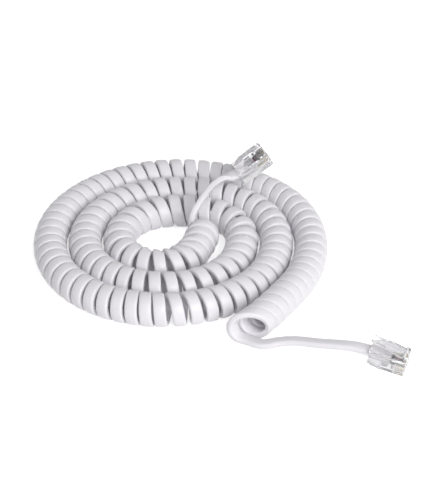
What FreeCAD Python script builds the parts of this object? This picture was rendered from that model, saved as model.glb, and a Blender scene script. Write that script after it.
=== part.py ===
"""Coiled telephone handset cord with a clear four-contact plug on each end.

Millimetres, +Z up, standing on z = 0. The coil lies in a flat spiral. The model is
laid out about the spiral's centre, which stands off the origin so that the origin is
under the middle of the whole object.
"""
import FreeCAD
import Part
import Sketcher
import math
import os
import re
from bisect import bisect

Vector = FreeCAD.Vector
Placement = FreeCAD.Placement
Rotation = FreeCAD.Rotation

UP = Vector(0, 0, 1)
ORIGIN_POINT = (-1, 1)
CONTACTS = 4
WIRE_COLOURS = ("black", "red", "green", "yellow")

SIZES = {
    # the spiral's centre
    "spiral_x": -14.54,
    "spiral_y": 8.02,
    # curly cord: the coil, its wire and the spaces between curls and rounds
    "coil_diameter": 10.6,
    "wire_diameter": 3.8,
    "curl_gap": 1.6,
    "round_gap": 0.9,
    "rest_flat": 0.5,
    # the spiral that the coil lies in, angles from +X, outer end to inner end
    "outer_angle": -63.5,
    "inner_angle": 945,
    "inner_radius": 15.5,
    "flare_angle": 30.5,
    "flare_reach": 5.3,
    "swell_angle": 32,
    "swell_half_width": 50,
    "swell_reach": 1.2,
    "swell_growth": 0.4,
    # the last curls at the outer end lean over, most at the very end
    "end_lean": 32,
    "end_lean_turns": 4,
    # the inner end turns in and runs straight, and climbs a little under its tail
    "inner_turn_radius": 11.6,
    "inner_heading": 70,
    "inner_run": 11.2,
    "inner_rise": 2,
    "leave_angle": 75,
    # flat cable of the two tails
    "cable_width": 3.9,
    "cable_thickness": 2.1,
    "tail_lead": 2,
    # plug housing
    "plug_length": 11.7,
    "plug_width": 7.65,
    "plug_height": 4.9,
    "rear_taper": 0.85,
    "rear_taper_length": 3.8,
    "nose_wall": 0.45,
    "cable_level": 2.75,
    "cable_clearance": 0.1,
    "window_length": 4.2,
    "window_width": 4.1,
    "window_bridge": 0.66,
    # insulated conductors and gold contacts
    "wire_pitch": 1.02,
    "insulation_diameter": 0.9,
    "wire_clearance": 0.08,
    "contact_length": 2.5,
    "contact_thickness": 0.36,
    "contact_recess": 0.55,
    "contact_setback": 0.3,
    "contact_chamfer": 0.45,
    "contact_clearance": 0.04,
    # crimp bars
    "anchor_recess": 0.45,
    "anchor_clearance": 0.12,
    "jacket_anchor_length": 2.2,
    "jacket_overhang": 0.48,
    "wire_anchor_length": 0.7,
    # latch and the nose block that it hangs from
    "latch_length": 10.9,
    "latch_width": 3.3,
    "latch_tip_width": 2.9,
    "latch_thickness": 0.9,
    "latch_rise": 12,
    "shoulder_length": 6,
    "shoulder_width": 4.8,
    "hinge_setback": 1.35,
    "hinge_gap": 0.1,
    "hinge_lip": 0.1,
    "nose_block_cover": 0.35,
    "nose_block_bevel": 0.4,
    # where the cable enters each plug, from the coil's end beside it, and how the plug lies:
    # the front one on the lower edge of its nose, the rear one above the coil
    "front_reach_x": 38.14,
    "front_reach_y": -9,
    "front_nose_lift": 0.1,
    "front_yaw": -20,
    "front_pitch": 7,
    "front_roll": 0,
    "rear_reach_x": 11.26,
    "rear_reach_y": 21.11,
    "rear_lift": 4.4,
    "rear_yaw": 22.9,
    "rear_pitch": -28.7,
    "rear_roll": 195.7,
}

# Points chosen along each tail, from the plug back to the coil: the front ones from under
# the coil's outer end, the rear ones from the top of its inner end
FRONT_TAIL_POINTS = [
    (32.1, -7.2, 4.75),
    (27.5, -6.2, 4.5),
    (21.9, -4.6, 3.7),
    (15.5, -2.6, 2.7),
    (9.3, -1.5, 1.8),
]
REAR_TAIL_POINTS = [
    (6.0, 18.2, 2.4),
    (2.8, 14.4, 2.7),
    (0.1, 10.4, 3.2),
    (-2.1, 6.8, 2.8),
    (-3.6, 4.3, 1.3),
]
FRONT_TAIL_LAST_RUN = 2.6
REAR_TAIL_LAST_RUN = 2.2

ARC_SHARE = 0.45
AXIS_STEP_DEGREES = 0.25
AXIS_STEP = 0.1
ARCS_PER_TURN = 4
GAP_STEPS_PER_TURN = 100
LEAST_SELF_GAP = 0.4
VOLUME_TOLERANCE = 0.002
FLOOR_TOLERANCE = 0.01

# The latch's root is rounded over almost its whole thickness
ROOT_ROUND_SHARE = 0.48

doc = FreeCAD.newDocument("handset_cord")
sheet = doc.addObject("Spreadsheet::Sheet", "Sizes")
sub_parts = []


def fill_sheet():
    for row, (name, number) in enumerate(SIZES.items(), start=1):
        sheet.set(f"A{row}", name)
        sheet.set(f"B{row}", str(number))
        sheet.setAlias(f"B{row}", name)
    doc.recompute()


def bound(text):
    """The expression that names the sheet's cells."""
    return re.sub(r"[a-z]\w+", lambda word: "Sizes." + word.group(), text)


def value(text):
    return float(sheet.evalExpression(bound(text)))


def finish(piece, label, placement):
    piece.Label = label
    piece.Placement = placement
    sub_parts.append(piece)


# Sketches and pads


def origin_plane(body, role):
    return next(plane for plane in body.Origin.OriginFeatures if plane.Role == role)


def new_sketch(body, role, name):
    sketch = body.newObject("Sketcher::SketchObject", name)
    sketch.AttachmentSupport = (origin_plane(body, role), [""])
    sketch.MapMode = "FlatFace"
    return sketch


def pin(sketch, geometry, vertex, corner):
    """Tie one point of the sketch to a pair of expressions."""
    for kind, text in zip(("DistanceX", "DistanceY"), corner):
        rule = Sketcher.Constraint(kind, *ORIGIN_POINT, geometry, vertex, value(text))
        index = sketch.addConstraint(rule)
        sketch.setExpression(f"Constraints[{index}]", bound(text))


def add_outline(sketch, corners):
    first = sketch.GeometryCount
    points = [Vector(value(x), value(y), 0) for x, y in corners]
    count = len(corners)
    for index in range(count):
        sketch.addGeometry(Part.LineSegment(points[index], points[(index + 1) % count]), False)
    for index in range(count):
        following = first + (index + 1) % count
        sketch.addConstraint(Sketcher.Constraint("Coincident", first + index, 2, following, 1))
        pin(sketch, first + index, 1, corners[index])


def add_circle(sketch, centre, radius):
    place = Vector(value(centre[0]), value(centre[1]), 0)
    index = sketch.addGeometry(Part.Circle(place, UP, value(radius)), False)
    pin(sketch, index, 3, centre)
    rule = sketch.addConstraint(Sketcher.Constraint("Radius", index, value(radius)))
    sketch.setExpression(f"Constraints[{rule}]", bound(radius))


def rectangle(left, right, low, high):
    return [(left, low), (right, low), (right, high), (left, high)]


def pad(body, name, sketch, length, both_sides=False):
    feature = body.newObject("PartDesign::Pad", name)
    feature.Profile = sketch
    feature.setExpression("Length", bound(length))
    if both_sides:
        feature.SideType = "Symmetric"
    doc.recompute()
    return feature


def pocket(body, name, sketch, length, both_sides=False):
    """Cut along the sketch's own normal, and make sure that it does cut."""
    before = body.Shape.Volume
    feature = body.newObject("PartDesign::Pocket", name)
    feature.Profile = sketch
    feature.setExpression("Length", bound(length))
    feature.Reversed = True
    if both_sides:
        feature.SideType = "Symmetric"
    doc.recompute()
    if body.Shape.Volume >= before:
        raise ValueError(f"{name} cuts nothing")
    return feature


# Plug pieces, in the plug's own frame: x from the cord entry to the nose,
# y across, z from the contact face to the latch

HINGE_X = "plug_length - hinge_setback"
HINGE_Z = "plug_height + hinge_lip + hinge_gap + latch_thickness / 2"
HINGE_GROOVE = "latch_thickness / 2 + hinge_gap"
NOSE_BLOCK_TOP = f"{HINGE_Z} + {HINGE_GROOVE} + nose_block_cover"
CONTACT_FRONT = "plug_length - contact_setback"
CONTACT_REAR = f"{CONTACT_FRONT} - contact_length"
SLOT_START = f"{CONTACT_REAR} - contact_clearance"
WINDOW_END = f"{SLOT_START} - window_bridge"
WINDOW_START = f"{WINDOW_END} - window_length"
JACKET_END = f"{WINDOW_START} + anchor_clearance + jacket_anchor_length + jacket_overhang"
CABLE_UNDERSIDE = "cable_level - cable_thickness / 2"
WIRE_UNDERSIDE = "cable_level - insulation_diameter / 2"


def across(index):
    """How far contact or wire number index lies from the plug's middle, in pitches."""
    return f"{index - (CONTACTS - 1) / 2} * wire_pitch"


def housing_block(body):
    plan = new_sketch(body, "XY_Plane", "housing_plan")
    side = "plug_width / 2"
    rear_side = "(plug_width / 2 - rear_taper)"
    add_outline(plan, [
        ("0", f"-{rear_side}"),
        ("rear_taper_length", f"-{side}"),
        ("plug_length", f"-{side}"),
        ("plug_length", side),
        ("rear_taper_length", side),
        ("0", rear_side),
    ])
    pad(body, "housing_block", plan, "plug_height")


def nose_block(body):
    profile = new_sketch(body, "XZ_Plane", "nose_block_profile")
    add_outline(profile, [
        (HINGE_X, "plug_height"),
        ("plug_length", "plug_height"),
        ("plug_length", f"{NOSE_BLOCK_TOP} - nose_block_bevel"),
        ("plug_length - nose_block_bevel", NOSE_BLOCK_TOP),
        (HINGE_X, NOSE_BLOCK_TOP),
    ])
    pad(body, "nose_block", profile, "shoulder_width", both_sides=True)
    groove = new_sketch(body, "XZ_Plane", "hinge_groove_circle")
    add_circle(groove, (HINGE_X, HINGE_Z), HINGE_GROOVE)
    pocket(body, "hinge_groove", groove, "plug_width", both_sides=True)


def cable_passages(body):
    entry = new_sketch(body, "YZ_Plane", "cable_entry_opening")
    half_width = "(cable_width / 2 + cable_clearance)"
    half_height = "(cable_thickness / 2 + cable_clearance)"
    add_outline(entry, rectangle(
        f"-{half_width}", half_width, f"cable_level - {half_height}", f"cable_level + {half_height}"))
    pocket(body, "cable_entry", entry, f"{JACKET_END} + cable_clearance")
    chamber = new_sketch(body, "YZ_Plane", "wire_chamber_opening")
    half_row = f"({(CONTACTS - 1) / 2} * wire_pitch + insulation_diameter / 2 + wire_clearance)"
    half_bore = "(insulation_diameter / 2 + wire_clearance)"
    add_outline(chamber, rectangle(
        f"-{half_row}", half_row, f"cable_level - {half_bore}", f"cable_level + {half_bore}"))
    pocket(body, "wire_chamber", chamber, "plug_length - nose_wall")


def contact_side_openings(body):
    window = new_sketch(body, "XY_Plane", "crimp_window_opening")
    add_outline(window, rectangle(WINDOW_START, WINDOW_END, "-window_width / 2", "window_width / 2"))
    pocket(body, "crimp_window", window, "cable_level")
    slots = new_sketch(body, "XY_Plane", "contact_slot_openings")
    half_slot = "(contact_thickness / 2 + contact_clearance)"
    for index in range(CONTACTS):
        middle = across(index)
        add_outline(slots, rectangle(
            SLOT_START, "plug_length + contact_setback",
            f"{middle} - {half_slot}", f"{middle} + {half_slot}"))
    pocket(body, "contact_slots", slots, "cable_level")


def make_housing(side, plug):
    body = doc.addObject("PartDesign::Body", f"{side}_housing_body")
    housing_block(body)
    nose_block(body)
    cable_passages(body)
    contact_side_openings(body)
    finish(body, f"{side}_housing", plug)


def root_edges(shape):
    """The two long edges at the latch's root, where x is zero."""
    names = []
    for number, edge in enumerate(shape.Edges, start=1):
        ends = edge.Vertexes
        at_root = all(abs(end.X) < FLOOR_TOLERANCE for end in ends)
        runs_across = len(ends) == 2 and abs(ends[0].Y - ends[1].Y) > FLOOR_TOLERANCE
        if at_root and runs_across:
            names.append(f"Edge{number}")
    return names


def make_latch(side, plug):
    body = doc.addObject("PartDesign::Body", f"{side}_latch_body")
    plan = new_sketch(body, "XY_Plane", "latch_plan")
    half = [
        ("0", "shoulder_width / 2"),
        ("-shoulder_length", "shoulder_width / 2"),
        ("-shoulder_length", "latch_width / 2"),
        ("-latch_length", "latch_tip_width / 2"),
    ]
    other_half = [(x, f"-{y}") for x, y in reversed(half)]
    add_outline(plan, half + other_half)
    lever = pad(body, "latch_lever", plan, "latch_thickness", both_sides=True)
    root = body.newObject("PartDesign::Fillet", "latch_root")
    root.Base = (lever, root_edges(lever.Shape))
    root.setExpression("Radius", bound(f"latch_thickness * {ROOT_ROUND_SHARE}"))
    doc.recompute()
    raised = Rotation(Vector(0, 1, 0), value("latch_rise"))
    hinge = Placement(Vector(value(HINGE_X), 0, value(HINGE_Z)), raised)
    finish(body, f"{side}_latch", plug.multiply(hinge))


def make_contact(side, plug, index):
    body = doc.addObject("PartDesign::Body", f"{side}_contact_{index + 1}_body")
    blade = new_sketch(body, "XZ_Plane", "contact_blade_profile")
    add_outline(blade, [
        (CONTACT_REAR, "contact_recess + contact_chamfer"),
        (f"{CONTACT_REAR} + contact_chamfer", "contact_recess"),
        (f"{CONTACT_FRONT} - contact_chamfer", "contact_recess"),
        (CONTACT_FRONT, "contact_recess + contact_chamfer"),
        (CONTACT_FRONT, WIRE_UNDERSIDE),
        (CONTACT_REAR, WIRE_UNDERSIDE),
    ])
    pad(body, "contact_blade", blade, "contact_thickness", both_sides=True)
    shift = Placement(Vector(0, value(across(index)), 0), Rotation())
    finish(body, f"{side}_contact_{index + 1}", plug.multiply(shift))


def make_wire(side, plug, index):
    wire = doc.addObject("Part::Cylinder", f"{side}_wire_{index + 1}")
    wire.setExpression("Radius", bound("insulation_diameter / 2"))
    wire.setExpression("Height", bound(f"plug_length - nose_wall - wire_clearance - ({JACKET_END})"))
    start = Vector(value(JACKET_END), value(across(index)), value("cable_level"))
    along = Placement(start, Rotation(Vector(0, 1, 0), 90))
    finish(wire, f"{side}_wire_{WIRE_COLOURS[index]}", plug.multiply(along))


def make_anchor(side, plug, name, length, start, top):
    bar = doc.addObject("Part::Box", f"{side}_{name}_bar")
    width = "window_width - 2 * anchor_clearance"
    bar.setExpression("Length", bound(length))
    bar.setExpression("Width", bound(width))
    bar.setExpression("Height", bound(f"{top} - anchor_recess"))
    corner = Vector(value(start), -value(width) / 2, value("anchor_recess"))
    finish(bar, f"{side}_{name}", plug.multiply(Placement(corner, Rotation())))


def plug_turn(side):
    return Rotation(*(value(f"{side}_{angle}") for angle in ("yaw", "pitch", "roll")))


def plug_at(entry, turn):
    """The plug's frame, with its cable entering at the entry point."""
    return Placement(entry - turn.multVec(UP * value("cable_level")), turn)


def front_plug(outer_end):
    """The front plug lies on the lower edge of its nose."""
    turn = plug_turn("front")
    nose_edge = turn.multVec(Vector(value("plug_length"), 0, -value("cable_level")))
    height = value("front_nose_lift") - nose_edge.z
    return plug_at(outer_end + Vector(value("front_reach_x"), value("front_reach_y"), height), turn)


def rear_plug(inner_end):
    """The rear plug is held over the coil by its tail."""
    reach = Vector(value("rear_reach_x"), value("rear_reach_y"), value("rear_lift"))
    return plug_at(inner_end + reach, plug_turn("rear"))


def report_plug(side, plug):
    """What a joint and a mount need to know about the plug."""
    hinge = plug.multVec(Vector(value(HINGE_X), 0, value(HINGE_Z)))
    nose = plug.multVec(Vector(value("plug_length"), 0, value("plug_height / 2")))
    press_axis = plug.Rotation.multVec(Vector(0, -1, 0))
    way_in = plug.Rotation.multVec(Vector(1, 0, 0))
    for name, vector in (("hinge", hinge), ("press axis", press_axis), ("nose", nose), ("way in", way_in)):
        print(f"{side} {name}:", [round(part, 4) for part in vector])


def make_plug(side, plug):
    make_housing(side, plug)
    make_latch(side, plug)
    for index in range(CONTACTS):
        make_contact(side, plug, index)
        make_wire(side, plug, index)
    make_anchor(side, plug, "jacket_anchor", "jacket_anchor_length",
                f"{WINDOW_START} + anchor_clearance", CABLE_UNDERSIDE)
    make_anchor(side, plug, "wire_anchor", "wire_anchor_length",
                f"{WINDOW_END} - anchor_clearance - wire_anchor_length", WIRE_UNDERSIDE)
    report_plug(side, plug)


# Curly cord


def heading_vector(degrees):
    angle = math.radians(degrees)
    return Vector(math.cos(angle), math.sin(angle), 0)


def left_of(direction):
    return Vector(-direction.y, direction.x, 0).normalize()


def spiral_radius(angle):
    """Even rounds, an outer end that opens out, and one side swollen by the inner end."""
    spacing = value("coil_diameter + round_gap")
    radius = value("inner_radius") + spacing * (value("inner_angle") - angle) / 360
    opened = value("outer_angle + flare_angle") - angle
    if opened > 0:
        radius += value("flare_reach") * (opened / value("flare_angle")) ** 2
    off_swell = (angle - value("swell_angle") + 180) % 360 - 180
    reach = value("swell_reach") + value("swell_growth") * angle / 360
    if abs(off_swell) < value("swell_half_width"):
        radius += reach * math.cos(math.radians(90 * off_swell / value("swell_half_width"))) ** 2
    return radius


def coil_axis():
    """Points along the middle of the coil, from its outer end to its inner end."""
    middle = Vector(value("spiral_x"), value("spiral_y"), value("coil_diameter / 2 - rest_flat"))
    first = value("outer_angle")
    steps = round((value("inner_angle") - first) / AXIS_STEP_DEGREES)
    angles = [first + step * AXIS_STEP_DEGREES for step in range(steps + 1)]
    points = [middle + heading_vector(angle) * spiral_radius(angle) for angle in angles]
    direction = (points[-1] - points[-2]).normalize()
    heading = math.degrees(math.atan2(direction.y, direction.x))
    turn = value("inner_heading") - heading
    centre = points[-1] + left_of(direction) * value("inner_turn_radius")
    arc_steps = round(turn / AXIS_STEP_DEGREES)
    for step in range(1, arc_steps + 1):
        outward = heading_vector(heading - 90 + turn * step / arc_steps)
        points.append(centre + outward * value("inner_turn_radius"))
    run_start = points[-1]
    run_steps = round(value("inner_run") / AXIS_STEP)
    forward = heading_vector(value("inner_heading")) * value("inner_run")
    for step in range(1, run_steps + 1):
        share = step / run_steps
        points.append(run_start + forward * share + UP * value("inner_rise") * share ** 2)
    return points


class Helix:
    """The wire's middle line, with its curls evenly spaced along the inside of the bend."""

    def __init__(self):
        self.radius = value("(coil_diameter - wire_diameter) / 2")
        self.axis = coil_axis()
        self.directions = self.axis_directions()
        self.inside = self.inside_lengths()
        part_turn = value("leave_angle / 360")
        closest_pitch = value("wire_diameter + curl_gap")
        self.turns = math.floor(self.inside[-1] / closest_pitch - part_turn) + part_turn
        self.pitch = self.inside[-1] / self.turns

    def axis_directions(self):
        last = len(self.axis) - 1
        return [(self.axis[min(index + 1, last)] - self.axis[max(index - 1, 0)]).normalize()
                for index in range(last + 1)]

    def inside_lengths(self):
        inner = [point + left_of(way) * self.radius for point, way in zip(self.axis, self.directions)]
        lengths = [0.0]
        for before, after in zip(inner, inner[1:]):
            lengths.append(lengths[-1] + (after - before).Length)
        return lengths

    def point(self, turn):
        reach = turn * self.pitch
        index = min(max(bisect(self.inside, reach), 1), len(self.inside) - 1)
        share = (reach - self.inside[index - 1]) / (self.inside[index] - self.inside[index - 1])
        middle = self.axis[index - 1] * (1 - share) + self.axis[index] * share
        way = self.directions[index - 1] * (1 - share) + self.directions[index] * share
        angle = math.pi + 2 * math.pi * turn
        rightward = left_of(way) * -1 + way.normalize() * self.lean(turn)
        return middle + (UP * math.cos(angle) + rightward * math.sin(angle)) * self.radius

    def lean(self, turn):
        """How far the curls near the outer end slope forward on their right, as a tangent."""
        nearness = max(0, 1 - turn / value("end_lean_turns"))
        return math.tan(math.radians(value("end_lean") * nearness ** 2))

    def tangent(self, turn):
        step = 0.001
        return (self.point(turn + step) - self.point(turn - step)).normalize()

    def end_at(self, index, height):
        """One end of the coil's middle line, taken to a height above the floor."""
        return Vector(self.axis[index].x, self.axis[index].y, height)


def arc_through(start, corner, end):
    """The arc that touches both legs of an even-legged corner, and its radius."""
    middle = (start + end) * 0.5
    rise = corner - middle
    half = (end - start).Length / 2
    half_turn = math.atan2(rise.Length, half)
    top = middle + rise * (half * math.tan(half_turn / 2) / rise.Length)
    return Part.Arc(start, top, end).toShape(), half / math.sin(half_turn)


def biarc(start, start_way, end, end_way):
    chord = end - start
    both = start_way + end_way
    bend = 2 * (1 - start_way.dot(end_way))
    leg = (math.sqrt(chord.dot(both) ** 2 + bend * chord.dot(chord)) - chord.dot(both)) / bend
    first_corner = start + start_way * leg
    second_corner = end - end_way * leg
    joint = (first_corner + second_corner) * 0.5
    return [arc_through(start, first_corner, joint), arc_through(joint, second_corner, end)]


def curl_stops(turns):
    """Where one biarc ends and the next begins, an eighth of a turn off the lowest point."""
    inner = [(step + 0.5) / ARCS_PER_TURN for step in range(int(turns * ARCS_PER_TURN))]
    return [0.0] + [stop for stop in inner if stop < turns - 0.5 / ARCS_PER_TURN] + [turns]


def check_volume(name, solid, section_area, length):
    expected = section_area * length
    if abs(solid.Volume - expected) > VOLUME_TOLERANCE * expected:
        raise ValueError(f"{name} has volume {solid.Volume:.1f}, expected {expected:.1f}")
    print(f"{name}: length {length:.1f} mm, volume {solid.Volume:.1f} mm3")


def least_self_gap(helix):
    """Smallest space between stretches of the wire that are more than half a turn apart."""
    diameter = value("wire_diameter")
    cell_size = value("coil_diameter")
    near = {}
    least = math.inf
    for step in range(int(helix.turns * GAP_STEPS_PER_TURN) + 1):
        point = helix.point(step / GAP_STEPS_PER_TURN)
        column, row = int(point.x // cell_size), int(point.y // cell_size)
        for neighbour in [(column + i, row + j) for i in (-1, 0, 1) for j in (-1, 0, 1)]:
            for other_step, other in near.get(neighbour, []):
                if step - other_step > GAP_STEPS_PER_TURN / 2:
                    least = min(least, (point - other).Length - diameter)
        near.setdefault((column, row), []).append((step, point))
    return least


def cut_flat(solid):
    """Take away what reaches under the floor, so that the curls stand on small flats."""
    box = solid.BoundBox
    margin = value("coil_diameter")
    corner = Vector(box.XMin - margin, box.YMin - margin, -margin)
    floor = Part.makeBox(box.XLength + 2 * margin, box.YLength + 2 * margin, margin, corner)
    flattened = max(solid.cut(floor).Solids, key=lambda piece: piece.Volume)
    if flattened.Volume >= solid.Volume:
        raise ValueError("the floor cuts nothing off the curls")
    return flattened


def make_curly_cord(helix):
    diameter = value("wire_diameter")
    stops = curl_stops(helix.turns)
    points = [helix.point(stop) for stop in stops]
    ways = [helix.tangent(stop) for stop in stops]
    start = points[0] - ways[0] * diameter
    end = points[-1] + ways[-1] * diameter
    edges = [Part.LineSegment(start, points[0]).toShape()]
    radii = []
    for index in range(len(stops) - 1):
        for edge, radius in biarc(points[index], ways[index], points[index + 1], ways[index + 1]):
            edges.append(edge)
            radii.append(radius)
    edges.append(Part.LineSegment(points[-1], end).toShape())
    path = Part.Wire(edges)
    section = Part.Wire([Part.Circle(start, ways[0], diameter / 2).toShape()])
    tube = path.makePipeShell([section], True, False)
    check_volume("curly_cord", tube, math.pi * diameter ** 2 / 4, path.Length)
    gap = least_self_gap(helix)
    print(f"curls {helix.turns:.2f}, bend radii {min(radii):.2f} to {max(radii):.2f} mm")
    print(f"least gap between curls {gap:.2f} mm")
    if gap <= LEAST_SELF_GAP:
        print("the curls come closer to each other than they should")
    cord = doc.addObject("Part::Feature", "curly_cord_solid")
    cord.Shape = cut_flat(tube)
    finish(cord, "curly_cord", Placement())
    return (start, ways[0] * -1), (end, ways[-1])


# Tails


def rounded_path(points):
    """Straight runs joined by tangent arcs, and the arcs' radii."""
    edges = []
    radii = []
    reached = points[0]
    for before, corner, after in zip(points, points[1:], points[2:]):
        back = before - corner
        ahead = after - corner
        leg = ARC_SHARE * min(back.Length, ahead.Length)
        arc_start = corner + back.normalize() * leg
        arc_end = corner + ahead.normalize() * leg
        edges.append(Part.LineSegment(reached, arc_start).toShape())
        edge, radius = arc_through(arc_start, corner, arc_end)
        edges.append(edge)
        radii.append(radius)
        reached = arc_end
    edges.append(Part.LineSegment(reached, points[-1]).toShape())
    return Part.Wire(edges), radii


def flat_section(place):
    """A flat cable's outline: two straight sides and two round edges, across the plug's x axis."""
    half_flat = value("(cable_width - cable_thickness) / 2")
    half_thick = value("cable_thickness / 2")
    corners = [
        Vector(0, -half_flat, -half_thick),
        Vector(0, half_flat, -half_thick),
        Vector(0, half_flat, half_thick),
        Vector(0, -half_flat, half_thick),
    ]
    far_edge = Vector(0, half_flat + half_thick, 0)
    outline = Part.Wire([
        Part.LineSegment(corners[0], corners[1]).toShape(),
        Part.Arc(corners[1], far_edge, corners[2]).toShape(),
        Part.LineSegment(corners[2], corners[3]).toShape(),
        Part.Arc(corners[3], far_edge * -1, corners[0]).toShape(),
    ])
    area = Part.Face(outline).Area
    outline.Placement = place
    return outline, area


def make_tail(side, plug, reference, chosen_points, last_run, coil_end):
    """A flat cable from inside the plug, along the chosen points, to the end of the curls."""
    inside_end = plug.multVec(Vector(value(JACKET_END), 0, value("cable_level")))
    lead = plug.multVec(Vector(-value("tail_lead"), 0, value("cable_level")))
    end, way = coil_end
    route = [inside_end, lead] + [reference + Vector(*point) for point in chosen_points]
    route += [end + way * last_run, end]
    path, radii = rounded_path(route)
    print(f"{side}_tail radii:", ", ".join(f"{radius:.1f}" for radius in radii))
    section, area = flat_section(Placement(inside_end, plug.Rotation))
    tube = path.makePipeShell([section], True, False)
    check_volume(f"{side}_tail", tube, area, path.Length)
    tail = doc.addObject("Part::Feature", f"{side}_tail_solid")
    tail.Shape = tube
    finish(tail, f"{side}_tail", Placement())


# Checks and files


def check_document():
    for item in doc.Objects:
        if "Invalid" in item.State or "Error" in item.State:
            raise ValueError(f"{item.Name} failed to build")
    for piece in sub_parts:
        shape = piece.Shape
        if shape.isNull() or not shape.isValid() or len(shape.Solids) != 1:
            raise ValueError(f"{piece.Label} is not one valid solid")


def lowest_and_highest(shapes):
    boxes = [shape.optimalBoundingBox(False, False) for shape in shapes]
    low = [min(getattr(box, f"{axis}Min") for box in boxes) for axis in "XYZ"]
    high = [max(getattr(box, f"{axis}Max") for box in boxes) for axis in "XYZ"]
    return low, high


def write_parts():
    os.makedirs("parts", exist_ok=True)
    for piece in sub_parts:
        piece.Shape.exportStep(f"parts/{piece.Label}.step")
    low, high = lowest_and_highest([piece.Shape for piece in sub_parts])
    if low[2] < -FLOOR_TOLERANCE:
        raise ValueError(f"something reaches {low[2]:.3f} mm, under the floor")
    print(f"{len(sub_parts)} pieces, from", [round(x, 2) for x in low], "to", [round(x, 2) for x in high])


def main():
    fill_sheet()
    helix = Helix()
    under_outer_end = helix.end_at(0, 0)
    over_inner_end = helix.end_at(-1, value("coil_diameter - rest_flat + inner_rise"))
    plugs = {"front": front_plug(under_outer_end), "rear": rear_plug(over_inner_end)}
    outer_end, inner_end = make_curly_cord(helix)
    make_tail("front", plugs["front"], under_outer_end, FRONT_TAIL_POINTS, FRONT_TAIL_LAST_RUN, outer_end)
    make_tail("rear", plugs["rear"], over_inner_end, REAR_TAIL_POINTS, REAR_TAIL_LAST_RUN, inner_end)
    for side, plug in plugs.items():
        make_plug(side, plug)
    doc.recompute()
    check_document()
    write_parts()


main()
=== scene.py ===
# %% [markdown]
# # A curly handset cord
#
# The real thing is a little over three and a half metres of flat white cable. It was wound hot
# round a rod, so that it springs back into small curls. The row of curls lies in a flat spiral of
# about three rounds, and a clear plug is crimped on each end.
#
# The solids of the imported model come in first. They say where everything is and how the latches
# turn, and they stay as they are. Every piece below is made to the same sizes, in metres, and
# stands for one or more of those solids.

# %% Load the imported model
import math
from bisect import bisect

import bpy
from mathutils import Matrix, Quaternion, Vector


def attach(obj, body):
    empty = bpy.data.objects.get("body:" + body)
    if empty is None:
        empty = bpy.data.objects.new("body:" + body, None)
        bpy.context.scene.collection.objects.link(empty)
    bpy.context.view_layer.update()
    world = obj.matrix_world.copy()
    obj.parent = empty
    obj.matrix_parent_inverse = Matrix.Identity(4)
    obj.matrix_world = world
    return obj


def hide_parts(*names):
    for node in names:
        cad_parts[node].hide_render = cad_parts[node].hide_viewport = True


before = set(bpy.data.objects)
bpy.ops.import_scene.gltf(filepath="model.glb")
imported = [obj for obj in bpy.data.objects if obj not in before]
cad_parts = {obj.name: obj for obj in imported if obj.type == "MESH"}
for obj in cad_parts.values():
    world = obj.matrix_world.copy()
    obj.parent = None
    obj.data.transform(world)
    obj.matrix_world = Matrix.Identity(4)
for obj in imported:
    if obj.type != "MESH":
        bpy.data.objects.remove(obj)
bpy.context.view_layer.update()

mm = 0.001
UP = Vector((0, 0, 1))
scene = bpy.context.scene

# %% [markdown]
# ## The camera
#
# The picture was taken from a little above, with a long lens, so the far rounds are hardly
# smaller than the near ones. A wide lens close by would show the same cord, but it would swell
# the near curls. So a long lens stands far away and looks at a point near the middle of the
# spiral.

# %% Camera
SPIRAL_CENTRE = Vector((-14.54, 8.02, 0.0)) * mm
VIEW_TARGET = SPIRAL_CENTRE + Vector((14.4, 1.4, 5.1)) * mm
VIEW_ELEVATION = math.radians(34)
VIEW_DISTANCE = 600 * mm
LENS = 135
SENSOR = 36


def aim(thing, place, target):
    """Put a camera or a lamp at a place and turn it to the target."""
    thing.location = place
    thing.rotation_mode = "QUATERNION"
    thing.rotation_quaternion = (Vector(target) - Vector(place)).to_track_quat("-Z", "Y")


def add_camera():
    data = bpy.data.cameras.new("camera")
    data.lens = LENS
    data.sensor_width = SENSOR
    camera = bpy.data.objects.new("camera", data)
    scene.collection.objects.link(camera)
    back = Vector((0, -math.cos(VIEW_ELEVATION), math.sin(VIEW_ELEVATION)))
    aim(camera, VIEW_TARGET + back * VIEW_DISTANCE, VIEW_TARGET)
    scene.camera = camera
    return camera


camera = add_camera()
print("camera at", [round(x, 3) for x in camera.location])

# %% [markdown]
# ## The route of the coil
#
# The curls follow a line of their own, the middle of the coil. It is a flat spiral of even
# rounds, and four things make it the one in the picture: the outer end opens out, one side is
# pushed out by the inner end, the inner end turns in towards the centre, and from there it runs
# straight and climbs a little.
#
# A line like this could be drawn by hand. Worked out from a few sizes it stays smooth, and one
# size can be changed without drawing the rest again.

# %% The middle line of the coil
COIL_DIAMETER = 11.0 * mm
ROUND_SPACING = 11.5 * mm
OUTER_ANGLE = -63.5
INNER_ANGLE = 945
INNER_RADIUS = 15.5 * mm
FLARE_ANGLE = 30.5
FLARE_REACH = 5.3 * mm
SWELL_ANGLE = 32
SWELL_HALF_WIDTH = 50
SWELL_REACH = 1.2 * mm
SWELL_GROWTH = 0.4 * mm
INNER_TURN_RADIUS = 11.6 * mm
INNER_HEADING = 70
INNER_RUN = 11.2 * mm
INNER_RISE = 2 * mm
STEPS_PER_DEGREE = 4
STEPS_PER_MM = 10


def heading(degrees):
    return Vector((math.cos(math.radians(degrees)), math.sin(math.radians(degrees)), 0))


def left_of(direction):
    return Vector((-direction.y, direction.x, 0)).normalized()


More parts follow.
